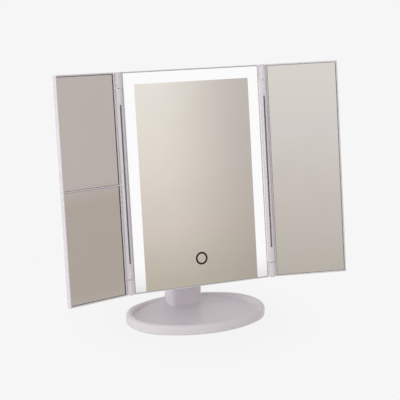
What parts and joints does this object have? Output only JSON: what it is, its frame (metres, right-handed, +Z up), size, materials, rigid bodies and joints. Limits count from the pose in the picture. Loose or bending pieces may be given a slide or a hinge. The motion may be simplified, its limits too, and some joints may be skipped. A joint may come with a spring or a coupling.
{
  "type": "trifold vanity mirror",
  "caption": "Free-standing three-panel mirror with a lit centre panel and touch switch, folding side wings, a tilting neck and an oval tray base.",
  "frame": {"origin": "on the resting surface, under the middle of the oval base, at the face of the rubber pad", "axes": "+Z up, -Y the side the mirror faces, +X to the viewer's right"},
  "size_m": [0.3482, 0.112, 0.2949],
  "materials": {
    "white_plastic": "satin white moulded ABS",
    "inner_plastic": "matt moulded plastic",
    "opal_plastic": "opal diffusing acrylic",
    "mirror_glass": "silvered float glass",
    "steel": "zinc-plated steel",
    "spring_steel": "nickel-plated spring steel",
    "rubber_pad": "matt non-slip sheet",
    "foam_tape": "double-sided foam tape",
    "circuit_board": "solder-masked glass fibre board",
    "lamp": "white light-emitting diode package",
    "black_plastic": "matt black",
    "cell_case": "plain wrapped steel can",
    "red_wire": "insulated wire",
    "white_wire": "insulated wire"
  },
  "bodies": {
    "base": {"base_tray": "white_plastic", "base_weight": "steel", "base_cover": "white_plastic", "base_pad": "rubber_pad", "base_screws": "steel", "neck_shell": "white_plastic", "neck_plug": "white_plastic", "neck_screws": "steel"},
    "head": {"tilt_bracket": "white_plastic", "bracket_screws": "steel", "tilt_shaft": "steel", "friction_washers": "steel", "tilt_nut": "steel", "tilt_caps": "white_plastic", "front_frame": "white_plastic", "centre_glass": "mirror_glass", "glass_tapes": "foam_tape", "light_diffuser": "opal_plastic", "mirror_backing": "inner_plastic", "chassis_plate": "inner_plastic", "chassis_screws": "steel", "led_board_left": "circuit_board", "led_board_top": "circuit_board", "led_board_right": "circuit_board", "led_lamps": "lamp", "touch_pad": "black_plastic", "touch_spring": "spring_steel", "control_board": "circuit_board", "board_parts": "black_plastic", "board_screws": "steel", "usb_socket": "steel", "switch_body": "black_plastic", "battery_cells": "cell_case", "battery_springs": "spring_steel", "battery_contacts": "spring_steel", "battery_leads": "red_wire", "led_leads": "white_wire", "rear_housing": "white_plastic", "housing_screws": "steel", "left_hinge_pins": "steel", "right_hinge_pins": "steel"},
    "power_slider": {"power_slider": "black_plastic"},
    "battery_door": {"battery_door": "white_plastic"},
    "left_wing": {"left_wing_frame": "white_plastic", "left_upper_mirror": "mirror_glass", "left_lower_mirror": "mirror_glass", "left_wing_tapes": "foam_tape", "left_wing_back": "white_plastic"},
    "right_wing": {"right_wing_frame": "white_plastic", "right_mirror": "mirror_glass", "right_wing_tapes": "foam_tape", "right_wing_back": "white_plastic"}
  },
  "joints": [
    {"name": "head_tilt", "type": "hinge", "parent": "base", "child": "head", "pos_m": [0, 0.03, 0.066], "axis": [-1, 0, 0], "range_deg": [-24, 70]},
    {"name": "left_wing_fold", "type": "hinge", "parent": "head", "child": "left_wing", "pos_m": [-0.089, -0.01872, 0.04656], "axis": [0, 0.1736, 0.9848], "range_deg": [-22.5, 157.5]},
    {"name": "right_wing_fold", "type": "hinge", "parent": "head", "child": "right_wing", "pos_m": [0.089, -0.01872, 0.04656], "axis": [0, -0.1736, -0.9848], "range_deg": [-17, 163]},
    {"name": "power_slide", "type": "slide", "parent": "head", "child": "power_slider", "axis": [1, 0, 0], "range_m": [0, 0.003]},
    {"name": "battery_door_slide", "type": "slide", "parent": "head", "child": "battery_door", "axis": [0, 0.1736, 0.9848], "range_m": [0, 0.008]}
  ]
}
